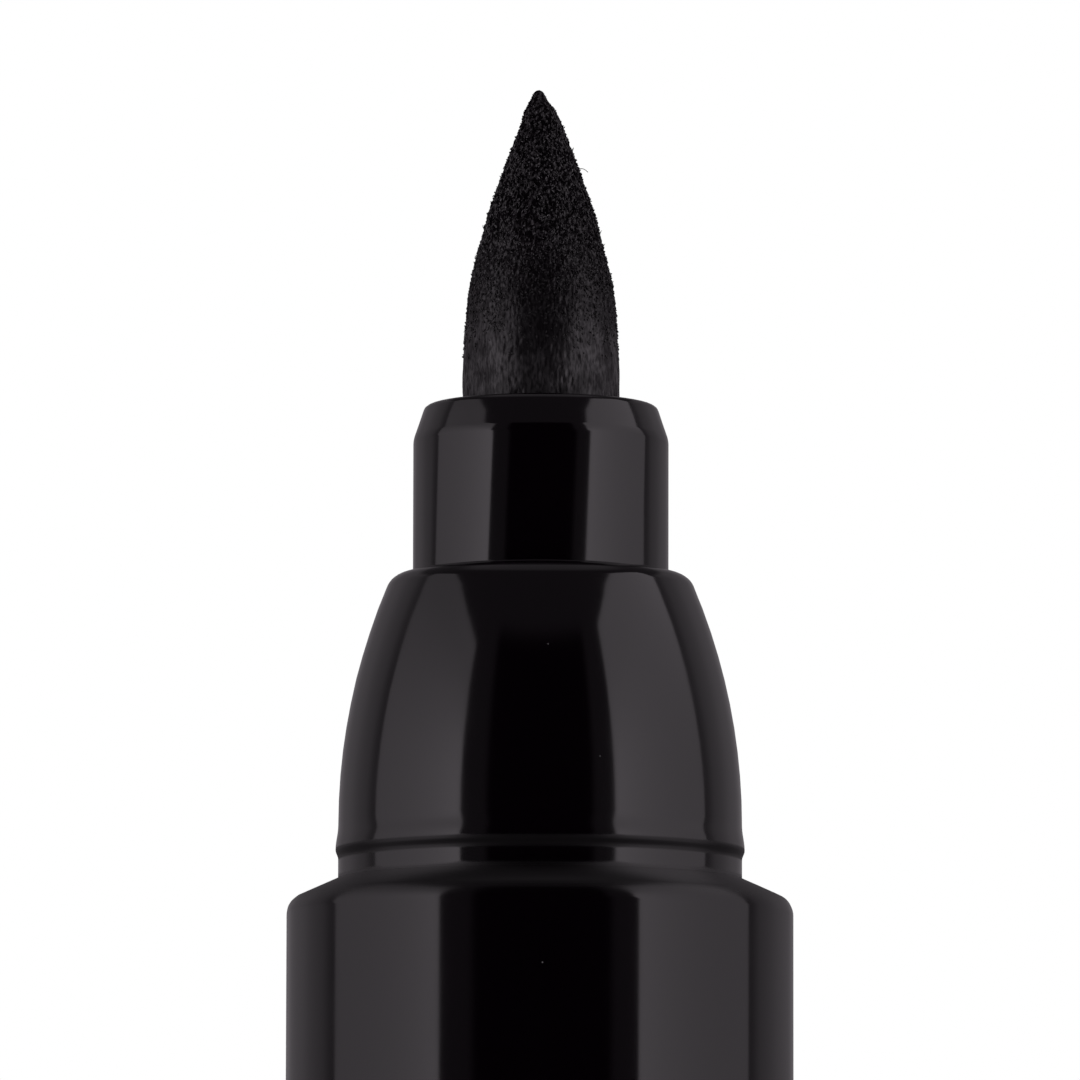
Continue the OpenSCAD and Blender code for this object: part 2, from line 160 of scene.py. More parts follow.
class NibSettings(PropertyGroup):
    """Shape and fibres of the felt nib."""

    cone_angle: angle("Cone angle", "Half angle of the cone behind the tip", 20.5)
    curve_radius: length("Curve radius", "Radius from the nib's side to its cone", 13.8 * MM)
    tip_radius: length("Tip radius", "Radius of the nib's tip", 0.2 * MM)
    tip_pinch: share("Tip pinch", "Share by which the felt draws in at the tip", 0.3)
    tip_reach: length("Tip reach", "Height below the tip over which the felt draws in", 0.5 * MM)
    tip_lean: length("Tip lean", "How far the felt's tip leans to the left", 0.064 * MM)
    lean_reach: length("Lean reach", "Height below the tip over which it leans", 1.0 * MM)
    fullness: length("Fullness", "How far the ground cone stands full of its solid", 0.022 * MM)
    core_depth: length("Core depth", "Depth of the hole for the fibre core", 2.05 * MM)
    core_radius: length("Core radius", "Radius of the hole for the fibre core", 0.95 * MM)
    columns: IntProperty(name="Columns", description="Faces round the nib", default=384, min=24)
    row_height: length("Row height", "Height of one row of faces", 0.038 * MM)
    swell: length("Swell", "How far the felt's surface swells and sinks", 0.03 * MM)
    grain: length("Grain", "Height of the grains on the ground cone", 0.03 * MM)
    ridge: length("Ridge", "Height of the fibres' ridges near the collar", 0.008 * MM)
    pit: length("Pit", "Depth of the pits between fibres", 0.018 * MM)
    ground_from: length("Ground from", "Height over the collar where the cone begins", 1.0 * MM)
    ground_to: length("Ground to", "Height over the collar where it is fully ground", 2.8 * MM)
    grit_size: length("Grit size", "Width of the grit on the ground cone", 0.07 * MM)
    streak_size: length("Streak size", "Width of the fibres' streaks near the collar", 0.05 * MM)
    blot_size: length("Blot size", "Width of the blots near the collar", 0.35 * MM)
    relief: length("Relief", "Height of the grit and the streaks", 0.035 * MM)
    end_length: length("Cut end length", "Length of a cut fibre end", 0.1 * MM)
    end_width: length("Cut end width", "Width of a cut fibre end", 0.042 * MM)
    end_spacing: length("Cut end spacing", "Mean distance between cut ends", 0.072 * MM)
    end_lean: angle("Cut end lean", "Most that a cut end leans", 55)
    slim_reach: length("Slim reach", "Distance from the axis in which fibres get smaller", 0.6 * MM)
    loose_length: length("Loose fibre length", "Length of a loose fibre on the felt", 0.26 * MM)
    loose_width: length("Loose fibre width", "Width of a loose fibre", 0.03 * MM)
    loose_spacing: length("Loose fibre spacing", "Mean distance between loose fibres", 0.8 * MM)
    loose_lean: angle("Loose fibre lean", "Most that a loose fibre leans", 50)
    hair_length: length("Stray hair length", "Length of the hair that stands off", 0.2 * MM)
    hair_width: length("Stray hair width", "Width of the hair that stands off", 0.016 * MM)
    hair_out: length("Stray hair place", "Distance from the axis where the hair starts", 0.86 * MM)
    hair_drop: length("Stray hair drop", "Distance of the hair below the tip", 1.82 * MM)
    seed: IntProperty(name="Seed", description="Seed of the random fibres", default=7)
    wet: colour("Wet felt", "Colour between the fibres", (0.0011, 0.0003, 0.0011))
    dry: colour("Fibre ends", "Colour of the lightest fibres", (0.022, 0.0185, 0.022))
    sheen: share("Sheen", "Roughness of a wet fibre", 0.15)
    side_sheen: share("Side sheen", "Roughness of the felt near the collar", 0.36)
    fibre_gloss: share("Fibre gloss", "Reflection level of a fibre's end", 0.9)
    felt_gloss: share("Felt gloss", "Reflection level of the felt under the fibre ends", 0.5)
    gap_gloss: share("Gap gloss", "Reflection level between the fibres", 0.03)
    # Painted shade: on the felt's front and on its right side the shine is cut, which darkens colour and gloss
    painted_shade: ends("Darkened front", "Heights over the collar, in mm, over which its shine goes and comes "
                "back", (0.9, 1.2, 2.2, 4))
    painted_shade_width: ends("Darkened width", "Distances to the side, in mm, over which the inked front ends",
                      (0.3, 1))
    painted_shade_share: share("Darkened share", "Share of the shine that the inked front lacks", 0.35)
    shaded: ends("Shaded side", "Distances to the right and heights over the collar, in mm, over "
                 "which the right side darkens", (0.2, 0.9, 1.4, 2.6))
    shaded_share: share("Shaded share", "Share of the shine that the right side lacks", 0.2)


class PlasticSettings(PropertyGroup):
    """Finish of the gloss black shells."""

    black: colour("Black", "Colour under the gloss", (0.0011, 0.0003, 0.0011))
    dust: colour("Dust", "Colour of dust specks", (0.12, 0.118, 0.12))
    nose_gloss: share("Nose gloss", "Reflection level of the nose, the collar and the plug", 0.5)
    barrel_gloss: share("Barrel gloss", "Reflection level of the barrel and the cap", 0.42)
    rim_edge: length("Rim edge", "Rounding of the collar's rim", 0.12 * MM)
    rim_rise: length("Rim rise", "How far the rim's rounding stands over its solid", 0.07 * MM)
    chamfer: length("Chamfer", "Length of the collar's chamfer", 0.71 * MM)
    chamfer_edge: length("Chamfer edge", "Reach of the rounding below the chamfer", 0.1 * MM)
    catch: ends("Bead's catch", "Its span over the seat's foot, in mm, as made and as softened",
                (0.45, 0.58, 0.44, 0.65))
    ramp: ends("Bead's ramp", "Its span over the seat's foot, in mm, as made and as softened",
               (0.72, 1.02, 0.66, 1.22))
    foot: ends("Seat's foot", "Its fillet's height over the shoulder, in mm, and how far it sinks",
               (0.01, 0.05, 0.026))
    crest: length("Crest", "Drop from the shoulder's inner edge to where it leans most", 0.38 * MM)
    shoulder: length("Shoulder", "Height of the barrel's sloping and rounded shoulder", 0.8 * MM)
    tilts: ends("Tilts", "Degrees to which the shoulder's gloss leans at the seat and the crest",
                (12, 32))
    roughness: share("Roughness", "Mean roughness of the moulded gloss", 0.1)
    handled: share("Handled", "How much handling makes the roughness vary", 0.03)
    satin: share("Satin", "Roughness of the barrel's shoulder and of the bead's catch", 0.34)
    satin_end: ends("Satin's end", "Heights over the shoulder, in mm, over which its satin ends",
                    (0.03, 0.12))
    # Painted shade: a dark matt cover over part of the bead's catch, whose satin roughness is the finish
    catch_painted_shade: share("Dull", "Share of its gloss that the bead's catch lacks", 0.42)
    catch_painted_shade_gloss: share("Dull gloss", "Reflection level of that share", 0.02)
    soft: length("Soft edge", "Height over which the catch's satin fades", 0.06 * MM)
    wave: length("Wave", "Height of the moulding's slow waves", 0.0009 * MM)
    wave_size: length("Wave size", "Width of one slow wave", 3.2 * MM)
    peel: length("Peel", "Height of the fine unevenness", 0.00006 * MM)
    peel_size: length("Peel size", "Width of the fine unevenness", 0.35 * MM)
    handled_size: length("Handled size", "Width of a mark of handling", 1.6 * MM)
    dust_spacing: length("Dust spacing", "Width of the cell that may hold a speck", 1.9 * MM)
    dust_size: share("Dust size", "Share of its cell that a speck takes", 0.016)
    dust_patch: length("Dust patch", "Width of a patch that has dust", 2.6 * MM)
    dust_rough: share("Dust roughness", "Roughness that a speck adds", 0.4)


class InsideSettings(PropertyGroup):
    """Finish of the pieces inside the pen and the cap."""

    natural: colour("Natural plastic", "Colour of the unpigmented plastic", (0.80, 0.81, 0.79))
    ink: colour("Ink", "Colour of plastic and fibre that ink has wetted", (0.006, 0.006, 0.007))
    fibre: colour("Fibre", "Colour of the core's fibres", (0.03, 0.03, 0.032))
    steel: colour("Steel", "Colour of the balls and the spring", (0.62, 0.63, 0.65))
    tank_wall: length("Tank wall", "Thickness of the tank's wall", 0.7 * MM)
    wet_edge: length("Wet edge", "Half of the depth over which the ink's colour fades", 0.05 * MM)
    flow_size: length("Flow size", "Width of the moulding's flow marks", 1.4 * MM)
    gloss_size: length("Gloss size", "Width of the spots where the plastic's gloss varies", 0.25 * MM)
    grain_size: length("Grain size", "Width of the plastic's grain", 0.12 * MM)
    grain: length("Grain", "Height of the plastic's grain", 0.0012 * MM)
    strand_size: length("Strand size", "Width of a strand of the core", 0.04 * MM)
    strand: length("Strand", "Height of a strand of the core", 0.012 * MM)
    line_size: length("Line size", "Width of the fine lines on steel", 0.05 * MM)
    line: length("Line", "Height of the fine lines on steel", 0.0004 * MM)
    wear_size: length("Wear size", "Width of the worn spots on steel", 0.6 * MM)


class StageSettings(PropertyGroup):
    """Camera, light and floor."""

    distance: length("Distance", "Distance of the camera from the pen's axis", 230 * MM)
    aim: length("Aim", "Height of the picture's middle above the barrel's end", 7.745 * MM)
    tilt: angle("Tilt", "How far the camera looks up", 6.2)
    half_view: length("Half view", "Half of the width in view at the pen's axis", 12.30 * MM)
    roll: angle("Roll", "How far the camera is rolled", 0.12)
    shift: share("Shift", "Share of the picture's width from its middle right to the pen", 0.0007)
    reach: length("Reach", "Distance from the pen to the side panels", 400 * MM)
    front: ends("Panel front", "Shares of the reach from the pen forward to each panel's edge",
                (0.962, 1.063))
    back: share("Panel back", "Share of the reach from the pen back to a panel's edge", 0.325)
    top: ends("Panel top", "Shares of the reach from the nose up to each panel's edge",
              (0.935, 1.14))
    change: ends("Panel change", "Shares of the reach over the nose from low light to high light",
                 (0.15, 0.8))
    tint: colour("Tint", "Colour of the light that the gloss shows", (1, 0.92, 0.99))
    left: ends("Left light", "Light at the front and back, low and high", (1.6, 0.58, 0.84, 0.4))
    right: ends("Right light", "Light at the front and back, low and high", (1.6, 0.62, 1.1, 0.98))
    room: length("Room", "Radius of the surround", 3)
    surround: share("Surround", "Light of the grey surround behind the pen", 0.185, 10)
    ring: ends("Ring", "Shares of that light at its edge, in its bright ring and at the back",
               (0.85, 1.5, 1.1))
    overhead: share("Overhead", "Light straight above the pen", 0.27, 10)
    below: share("Below", "Light that the gloss shows from below", 0.13, 10)
    shine: ends("Floor's shine", "Light of the panels on the floor, at their front and back edges",
                (1.0, 0.35))
    shine_span: ends("Shine's span", "Shares of the reach over which that light rises", (0.3, 1.3))
    shine_edge: angle("Shine's edge", "Half of the width of that light's soft edges", 3)
    dim: share("Dim", "Light of the dim parts of the surround", 0.085, 10)
    level: share("Level", "Light that the world gives to matt surfaces", 0.55, 10)
    lamp: share("Lamp", "Light of the side lamps on matt surfaces", 1.1, 10)
    floor: colour("Floor", "Colour of the floor", (0.82, 0.82, 0.82))
    floor_size: length("Floor size", "Half of the floor's width", 12)
    white: share("White", "Share of white that the camera sees on the floor by the pen", 0.2)
    white_span: ends("White's span", "Shares of the reach over which the floor turns white",
                     (0.19, 0.95))


SETTINGS = {
    "pen_nib": NibSettings,
    "pen_plastic": PlasticSettings,
    "pen_inside": InsideSettings,
    "pen_stage": StageSettings,
}


# Shader maths

class Field:
    """One value of a shader. Arithmetic on it adds Math nodes."""

    def __init__(self, maker, socket):
        self.maker = maker
        self.socket = socket

    def math(self, operation, *values):
        return self.maker.node(
            "ShaderNodeMath", {"operation": operation}, dict(enumerate((self, *values)))
        )

    def flipped(self, operation, value):
        return self.maker.node(
            "ShaderNodeMath", {"operation": operation}, {0: value, 1: self}
        )

    def __add__(self, other):
        return self.math("ADD", other)

    def __sub__(self, other):
        return self.math("SUBTRACT", other)

    def __rsub__(self, other):
        return self.flipped("SUBTRACT", other)

    def __mul__(self, other):
        return self.math("MULTIPLY", other)

    def __truediv__(self, other):
        return self.math("DIVIDE", other)

    def __rtruediv__(self, other):
        return self.flipped("DIVIDE", other)

    def __pow__(self, other):
        return self.math("POWER", other)

    __radd__ = __add__
    __rmul__ = __mul__

    def step(self, low, high):
        """0 below low and 1 above high, with a smooth rise between them."""
        return self.maker.node(
            "ShaderNodeMapRange", {"interpolation_type": "SMOOTHSTEP"},
            {"Value": self, "From Min": low, "From Max": high},
        )

    def between(self, low, high):
        """Low where this is 0 and high where it is 1."""
        return self * (high - low) + low


class Maker:
    """Builds the nodes of one material."""

    def __init__(self, name, surface="ShaderNodeBsdfPrincipled"):
        self.material = bpy.data.materials.new(name)
        self.material.use_nodes = True
        self.tree = self.material.node_tree
        self.tree.nodes.clear()
        self.output = self.tree.nodes.new("ShaderNodeOutputMaterial")
        self.surface = self.tree.nodes.new(surface)
        self.tree.links.new(self.surface.outputs[0], self.output.inputs["Surface"])

    def feed(self, socket, value):
        if isinstance(value, Field):
            self.tree.links.new(value.socket, socket)
        elif socket.type == "RGBA":
            socket.default_value = (*value, 1)
        else:
            socket.default_value = value

    def node(self, kind, settings=None, inputs=None, output=0):
        """A node of this type, with its settings made first and then its inputs."""
        made = self.tree.nodes.new(kind)
        for key, value in (settings or {}).items():
            setattr(made, key, value)
        for key, value in (inputs or {}).items():
            self.feed(made.inputs[key], value)
        return Field(self, made.outputs[output])

    def set(self, **inputs):
        """Feeds the surface shader, with _ for the spaces in its sockets' names."""
        for key, value in inputs.items():
            self.feed(self.surface.inputs[key.replace("_", " ")], value)
        return self

    def veil(self, factor, kind="ShaderNodeBsdfPrincipled", **inputs):
        """Covers the surface with a second one, as far as factor says."""
        cover = self.tree.nodes.new(kind)
        for key, value in inputs.items():
            self.feed(cover.inputs[key.replace("_", " ")], value)
        mixed = self.tree.nodes.new("ShaderNodeMixShader")
        self.feed(mixed.inputs[0], factor)
        self.tree.links.new(self.surface.outputs[0], mixed.inputs[1])
        self.tree.links.new(cover.outputs[0], mixed.inputs[2])
        self.tree.links.new(mixed.outputs[0], self.output.inputs["Surface"])
        return self

    def place(self, stretch):
        """Object coordinates, stretched along each axis."""
        where = self.node("ShaderNodeTexCoord", output="Object")
        return self.node(
            "ShaderNodeVectorMath", {"operation": "MULTIPLY"}, {0: where, 1: stretch}
        )

    def axes(self):
        """The three object coordinates as values."""
        where = self.node("ShaderNodeTexCoord", output="Object")
        return [self.node("ShaderNodeSeparateXYZ", None, {0: where}, output=i) for i in range(3)]

    def from_axis(self):
        """Distance from the pen's axis."""
        x, y = self.axes()[:2]
        return (x * x + y * y) ** 0.5

    def noise(self, size, stretch=(1, 1, 1), detail=2, shift=0):
        """Noise whose blobs are about as wide as size."""
        where = self.place([s / size for s in stretch])
        moved = self.node(
            "ShaderNodeVectorMath", {"operation": "ADD"}, {0: where, 1: (shift, shift, shift)}
        )
        return self.node(
            "ShaderNodeTexNoise", None, {"Vector": moved, "Scale": 1, "Detail": detail}
        )

    def specks(self, size, radius):
        """Small round spots, one in each cell of about this size, as wide as radius says."""
        cells = self.node(
            "ShaderNodeTexVoronoi", None, {"Vector": self.place([1 / size] * 3), "Scale": 1},
        )
        return 1 - cells.step(radius / 2, radius)

    def mix(self, low, high, factor):
        """A colour between low and high."""
        return self.node(
            "ShaderNodeMix", {"data_type": "RGBA"}, {0: factor, 6: low, 7: high}, output=2
        )

    def bump(self, height, distance):
        """A normal from a height of 0 to 1, where 1 stands this far proud."""
        return self.node("ShaderNodeBump", None, {"Height": height, "Distance": distance})


# Finishes

def gloss_black(name, s, gloss):
    """Polished moulded black plastic, with slow waves, a fine unevenness and a little dust. It is
    satin on the barrel's shoulder and on the steep side of the bead, where a dark matt cover also paints shade."""
    m = Maker(name)
    slow = m.noise(s.wave_size, (1, 1, 0.35), detail=1)
    fine = m.noise(s.peel_size, (1, 1, 0.5), detail=2)
    marks = m.noise(s.handled_size, (1, 1, 0.6), detail=4, shift=3)
    dusty = m.noise(s.dust_patch, detail=0, shift=9).step(0.52, 0.62)
    dust = m.specks(s.dust_spacing, s.dust_size) * dusty
    over = m.axes()[2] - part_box("barrel")[1].z
    shoulder = over.step(-s.shoulder, -s.crest) * (1 - over.step(*in_mm(s.satin_end)))
    low, high = in_mm(s.catch[2:])
    catch = over.step(low - s.soft, low) * (1 - over.step(high, high + s.soft))
    half = s.handled / 2
    even = marks.step(0.35, 0.75).between(s.roughness - half, s.roughness + half)
    m.set(
        Base_Color=m.mix(s.black, s.dust, dust),
        Roughness=even + dust * s.dust_rough + (catch + shoulder) * (s.satin - s.roughness),
        Specular_IOR_Level=gloss,
        Normal=m.bump(slow + fine * (s.peel / s.wave), s.wave),
    )
    # Painted shade on the bead's catch: a dark matt cover takes away part of its gloss
    return m.veil(
        catch * s.catch_painted_shade, Base_Color=s.black, Roughness=MATT, Specular_IOR_Level=s.catch_painted_shade_gloss,
    ).material


def felt(name, s, tone=None):
    """Ink-soaked felt, whose wet fibres shine and whose gaps are dark. A fibre takes its shine
    from its tone, and the body from its grit and, near the collar, from its streaks and blots.
    Painted shade takes shine from the felt's front and from its right side, which darkens their colour and cuts
    their gloss. The look of the ground cone begins below its shape and is full above it."""
    m = Maker(name)
    x, z = m.axes()[::2]
    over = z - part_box("nib_holder")[1].z
    ground = over.step(0.6 * s.ground_from, 1.7 * s.ground_to)
    grit = m.noise(s.grit_size, (1, 1, 0.6), detail=2)
    streak = m.noise(s.streak_size, (1, 1, 0.3), detail=2, shift=7)
    if tone:
        lit = m.node("ShaderNodeAttribute", {"attribute_name": tone}, output="Fac").step(0.25, 0.9)
        shine = ground.between(0.6, lit)
    else:
        blot = m.noise(s.blot_size, (1, 1, 0.6), detail=4, shift=5)
        blotted = blot.step(0.3, 0.65).between(0.5, 1)
        streaked = streak.step(0.3, 0.65).between(0.45, 0.95)
        shine = ground.between(streaked * blotted, grit.step(0.45, 0.6) * 0.75)
    # Painted shade on the felt's front and on its right side: less shine there, so a darker colour and less gloss
    low, full, fading, high = in_mm(s.painted_shade)
    painted_shade = over.step(low, full) * (1 - over.step(fading, high))
    front = 1 - x.math("ABSOLUTE").step(*in_mm(s.painted_shade_width))
    right = x.step(*in_mm(s.shaded[:2])) * over.step(*in_mm(s.shaded[2:]))
    shine = shine * (1 - painted_shade * front * s.painted_shade_share - right * s.shaded_share)
    relief = m.bump(ground.between(streak * 0.15, grit), s.relief)
    m.set(
        Base_Color=m.mix(s.wet, s.dry, shine),
        Roughness=ground.between(s.side_sheen, s.sheen),
        Specular_IOR_Level=s.fibre_gloss if tone else s.felt_gloss,
        Normal=relief,
    )
    return m.veil(
        1 - shine, Base_Color=s.wet, Roughness=MATT, Specular_IOR_Level=s.gap_gloss, Normal=relief,
    ).material


def natural_plastic(name, s, wet_from=None):
    """Unpigmented plastic with a faint flow pattern, and ink on the inner side of a tank."""
    m = Maker(name)
    flow = m.noise(s.flow_size, (1, 1, 0.25), detail=3)
    darker = [0.93 * c for c in s.natural]
    cloud = m.mix(darker, s.natural, flow.step(0.3, 0.7))
    if wet_from:
        inner = 1 - m.from_axis().step(wet_from - s.wet_edge, wet_from + s.wet_edge)
        cloud = m.mix(cloud, s.ink, inner * flow.step(0.2, 0.5).between(0.7, 1))
    return m.set(
        Base_Color=cloud,
        Roughness=m.noise(s.gloss_size, detail=3, shift=2).between(0.32, 0.52),
        Normal=m.bump(m.noise(s.grain_size, detail=2), s.grain),
    ).material


def fibre_rod(name, s):
    """Bonded fibres that run along the pen, black with ink."""
    m = Maker(name)
    strand = m.noise(s.strand_size, (1, 1, 0.05), detail=2)
    return m.set(
        Base_Color=m.mix(s.ink, s.fibre, strand.step(0.4, 0.7)),
        Roughness=strand.between(0.45, 0.75),
        Normal=m.bump(strand, s.strand),
    ).material


def bright_steel(name, s, drawn=False):
    """Polished steel, or wire with the fine lines that drawing leaves."""
    m = Maker(name)
    line = m.noise(s.line_size, (1, 1, 1 if drawn else 0.2), detail=3)
    wear = m.noise(s.wear_size, detail=3, shift=4)
    darker = [0.86 * c for c in s.steel]
    least, most = (0.2, 0.3) if drawn else (0.06, 0.16)
    return m.set(
        Base_Color=m.mix(darker, s.steel, wear.step(0.35, 0.65)),
        Metallic=1,
        Roughness=wear.between(least, most),
        Normal=m.bump(line, s.line),
    ).material


# Meshes

def new_object(name, points, faces, material, smooth=True):
    """An object whose place is in its mesh."""
    mesh = bpy.data.meshes.new(name)
    mesh.from_pydata(points, [], faces)
    mesh.polygons.foreach_set("use_smooth", [smooth] * len(faces))
    mesh.materials.append(material)
    mesh.update()
    made = bpy.data.objects.new(name, mesh)
    bpy.context.scene.collection.objects.link(made)
    return made


def turned(name, outline, columns, material, place):
    """Turns an outline, given as radius and height from one pole to the other, about the axis.
    place(radius, height, turn) gives each point."""
    points = [place(0, outline[0][1], 0)]
    for radius, height in outline[1:-1]:
        points += [place(radius, height, TURN * c / columns) for c in range(columns)]
    points.append(place(0, outline[-1][1], 0))
    last = len(points) - 1
    faces = []
    for c in range(columns):
        after = (c + 1) % columns
        faces.append((0, 1 + after, 1 + c))
        for row in range(len(outline) - 3):
            low, high = 1 + row * columns, 1 + (row + 1) * columns
            faces.append((low + c, low + after, high + after, high + c))
        faces.append((last, last - columns + c, last - columns + after))
    return new_object(name, points, faces, material)


def arc(centre, radius, start, stop, steps):
    """Points along an arc, as radius and height."""
    turns = [start + (stop - start) * i / steps for i in range(steps + 1)]
    return [(centre[0] + radius * math.cos(a), centre[1] + radius * math.sin(a)) for a in turns]


def tube(name, path, radius, sides, material):
    """A closed round wire along a path."""
    points, faces = [], []
    side = Vector((1, 0, 0))
    for i, p in enumerate(path):
        ahead = (path[min(i + 1, len(path) - 1)] - path[max(i - 1, 0)]).normalized()
        side = (side - ahead * side.dot(ahead)).normalized()
        other = ahead.cross(side)
        for k in range(sides):
            a = TURN * k / sides
            points.append(p + radius * (math.cos(a) * side + math.sin(a) * other))
    for i in range(len(path) - 1):
        for k in range(sides):
            low, high, after = i * sides, (i + 1) * sides, (k + 1) % sides
            faces.append((low + k, low + after, high + after, high + k))
    faces.append(tuple(reversed(range(sides))))
    faces.append(tuple(range(len(points) - sides, len(points))))
    return new_object(name, points, faces, material)


# The felt nib

def nib_outline(s):
    """The nib's outline from the core's hole to the tip, as radius and height. Its fine rows begin
    a few rows below the collar's rim."""
    sunk_rows, tip_steps = 4, 8
    low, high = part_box("nib")
    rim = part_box("nib_holder")[1].z
    radius = high.x
    tip = (0, high.z - s.tip_radius)
    touch = (s.tip_radius * math.cos(s.cone_angle), tip[1] + s.tip_radius * math.sin(s.cone_angle))
    curve_x = radius - s.curve_radius
    end_x = curve_x + s.curve_radius * math.cos(s.cone_angle)
    end_z = touch[1] - (end_x - touch[0]) / math.tan(s.cone_angle)
    curve = (curve_x, end_z - s.curve_radius * math.sin(s.cone_angle))

    def rows(bottom, top):
        count = max(1, round((top[1] - bottom[1]) / s.row_height))
        return [tuple(b + (t - b) * i / count for b, t in zip(bottom, top)) for i in range(count)]

    curve_steps = round(s.curve_radius * s.cone_angle / s.row_height)
    return (
        [(0, low.z + s.core_depth), (s.core_radius, low.z + s.core_depth), (s.core_radius, low.z)]
        + [(radius, low.z)]
        + rows((radius, rim - sunk_rows * s.row_height), (radius, curve[1]))
        + arc(curve, s.curve_radius, 0, s.cone_angle, curve_steps)
        + rows((end_x, end_z), touch)[1:]
        + arc(tip, s.tip_radius, s.cone_angle, math.pi / 2, tip_steps)
    )


def rise(value, low, high):
    """0 below low and 1 above high, with a smooth rise between them."""
    t = min(1, max(0, (value - low) / (high - low)))
    return t * t * (3 - 2 * t)


def felt_place(s):
    """Gives the function that places a point of the nib: rough where it stands out of the collar,
    full on the ground cone, drawn in at the tip, and leaning there."""
    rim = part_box("nib_holder")[1].z
    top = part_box("nib")[1].z

    def grains(spot, kind):
        x, y, z = spot
        size, squeeze = GRAINS[kind]
        return noise.noise(Vector((x, y, z * squeeze)) / size)

    def place(radius, height, turn):
        across, up = math.cos(turn), math.sin(turn)
        free = rise(height, rim, rim + ROUGH_FROM)
        if free:
            spot = (radius * across, radius * up, height)
            ground = rise(height, rim + s.ground_from, rim + s.ground_to)
            cut = grains(spot, "cut") + 0.5 * grains(spot, "fine cut")
            side = grains(spot, "ridge") + 0.5 * grains(spot, "wide ridge")
            hole = rise(grains(spot, "pit"), *PITTED)
            narrow = min(1, radius / NARROW)
            pinch = 1 - s.tip_pinch * rise(height, top - s.tip_reach, top)
            full = ground * s.fullness * rise(top - height, s.tip_reach / 2, s.tip_reach)
            radius = radius * pinch + full + free * narrow * (
                s.swell * grains(spot, "swell") + ground * s.grain * cut
                + (1 - ground) * (s.ridge * side - s.pit * hole)
            )
        lean = s.tip_lean * rise(height, top - s.lean_reach, top)
        return radius * across - lean, radius * up, height

    return place


def fibre_tree(material):
    """Nodes that scatter short fibres over a surface. They begin at the height Low, stand at their
    full number from Low plus Fade, and are smaller where they are nearer to the axis than Slim.
    At the axis they keep a share of their size, and each varies between the least and the most."""
    at_axis, least, most = 0.2, 0.6, 1.3
    tree = bpy.data.node_groups.new("Felt fibres", "GeometryNodeTree")
    face = tree.interface
    face.new_socket("Geometry", in_out="INPUT", socket_type="NodeSocketGeometry")
    for name, kind in (
        ("Length", "Float"), ("Width", "Float"), ("Spacing", "Float"), ("Lean", "Float"),
        ("Low", "Float"), ("Fade", "Float"), ("Slim", "Float"), ("Seed", "Int"),
    ):
        face.new_socket(name, in_out="INPUT", socket_type=f"NodeSocket{kind}")
    face.new_socket("Geometry", in_out="OUTPUT", socket_type="NodeSocketGeometry")
    into = tree.nodes.new("NodeGroupInput")
    out = tree.nodes.new("NodeGroupOutput")

    def node(kind, inputs, **settings):
        made = tree.nodes.new(kind)
        for key, value in settings.items():
            setattr(made, key, value)
        for key, value in inputs.items():
            if isinstance(value, bpy.types.NodeSocket):
                tree.links.new(value, made.inputs[key])
            else:
                made.inputs[key].default_value = value
        return made

    def maths(operation, a, b):
        return node("ShaderNodeMath", {0: a, 1: b}, operation=operation).outputs[0]

    def random(low, high, shift, kind="FLOAT"):
        seed = maths("ADD", into.outputs["Seed"], shift)
        limits = {0: low, 1: high} if kind == "FLOAT_VECTOR" else {2: low, 3: high}
        made = node("FunctionNodeRandomValue", {**limits, "Seed": seed}, data_type=kind)
        return made.outputs[0 if kind == "FLOAT_VECTOR" else 1]

    def vector(x, y, z):
        return node("ShaderNodeCombineXYZ", {0: x, 1: y, 2: z}).outputs[0]

    where = node("GeometryNodeInputPosition", {}).outputs[0]
    height = node("ShaderNodeSeparateXYZ", {0: where}).outputs[2]
    level = node("ShaderNodeVectorMath", {0: where, 1: (1, 1, 0)}, operation="MULTIPLY").outputs[0]
    reach = node("ShaderNodeVectorMath", {0: level}, operation="LENGTH").outputs["Value"]
    grown = maths("ADD", maths("DIVIDE", reach, into.outputs["Slim"]), at_axis)
    slim = maths("MINIMUM", grown, 1)
    above = maths("DIVIDE", maths("SUBTRACT", height, into.outputs["Low"]), into.outputs["Fade"])
    number = maths("MINIMUM", maths("MAXIMUM", above, 0), 1)
    spacing = into.outputs["Spacing"]
    points = node(
        "GeometryNodeDistributePointsOnFaces",
        {
            "Mesh": into.outputs["Geometry"],
            "Density": maths("DIVIDE", number, maths("MULTIPLY", spacing, spacing)),
            "Seed": into.outputs["Seed"],
        },
    ).outputs["Points"]
    grain = node("GeometryNodeMeshUVSphere", {"Segments": 4, "Rings": 3, "Radius": 0.5}).outputs[0]
    round_grain = node("GeometryNodeSetShadeSmooth", {"Geometry": grain}).outputs[0]
    lean = into.outputs["Lean"]
    back = maths("MULTIPLY", lean, -1)
    wide = maths("MULTIPLY", maths("MULTIPLY", into.outputs["Width"], slim), random(least, most, 3))
    tall = maths("MULTIPLY", maths("MULTIPLY", into.outputs["Length"], slim), random(least, most, 4))
    turn = random(vector(back, back, 0), vector(lean, lean, TURN), 1, "FLOAT_VECTOR")
    placed = node(
        "GeometryNodeInstanceOnPoints",
        {
            "Points": points, "Instance": round_grain, "Rotation": turn,
            "Scale": vector(wide, wide, tall),
        },
    ).outputs[0]
    toned = node(
        "GeometryNodeStoreNamedAttribute",
        {"Geometry": placed, "Name": "tone", "Value": random(0.0, 1.0, 2)},
        data_type="FLOAT", domain="INSTANCE",
    ).outputs[0]
    real = node("GeometryNodeRealizeInstances", {"Geometry": toned}).outputs[0]
    painted = node("GeometryNodeSetMaterial", {"Geometry": real, "Material": material}).outputs[0]
    tree.links.new(painted, out.inputs[0])
    return tree


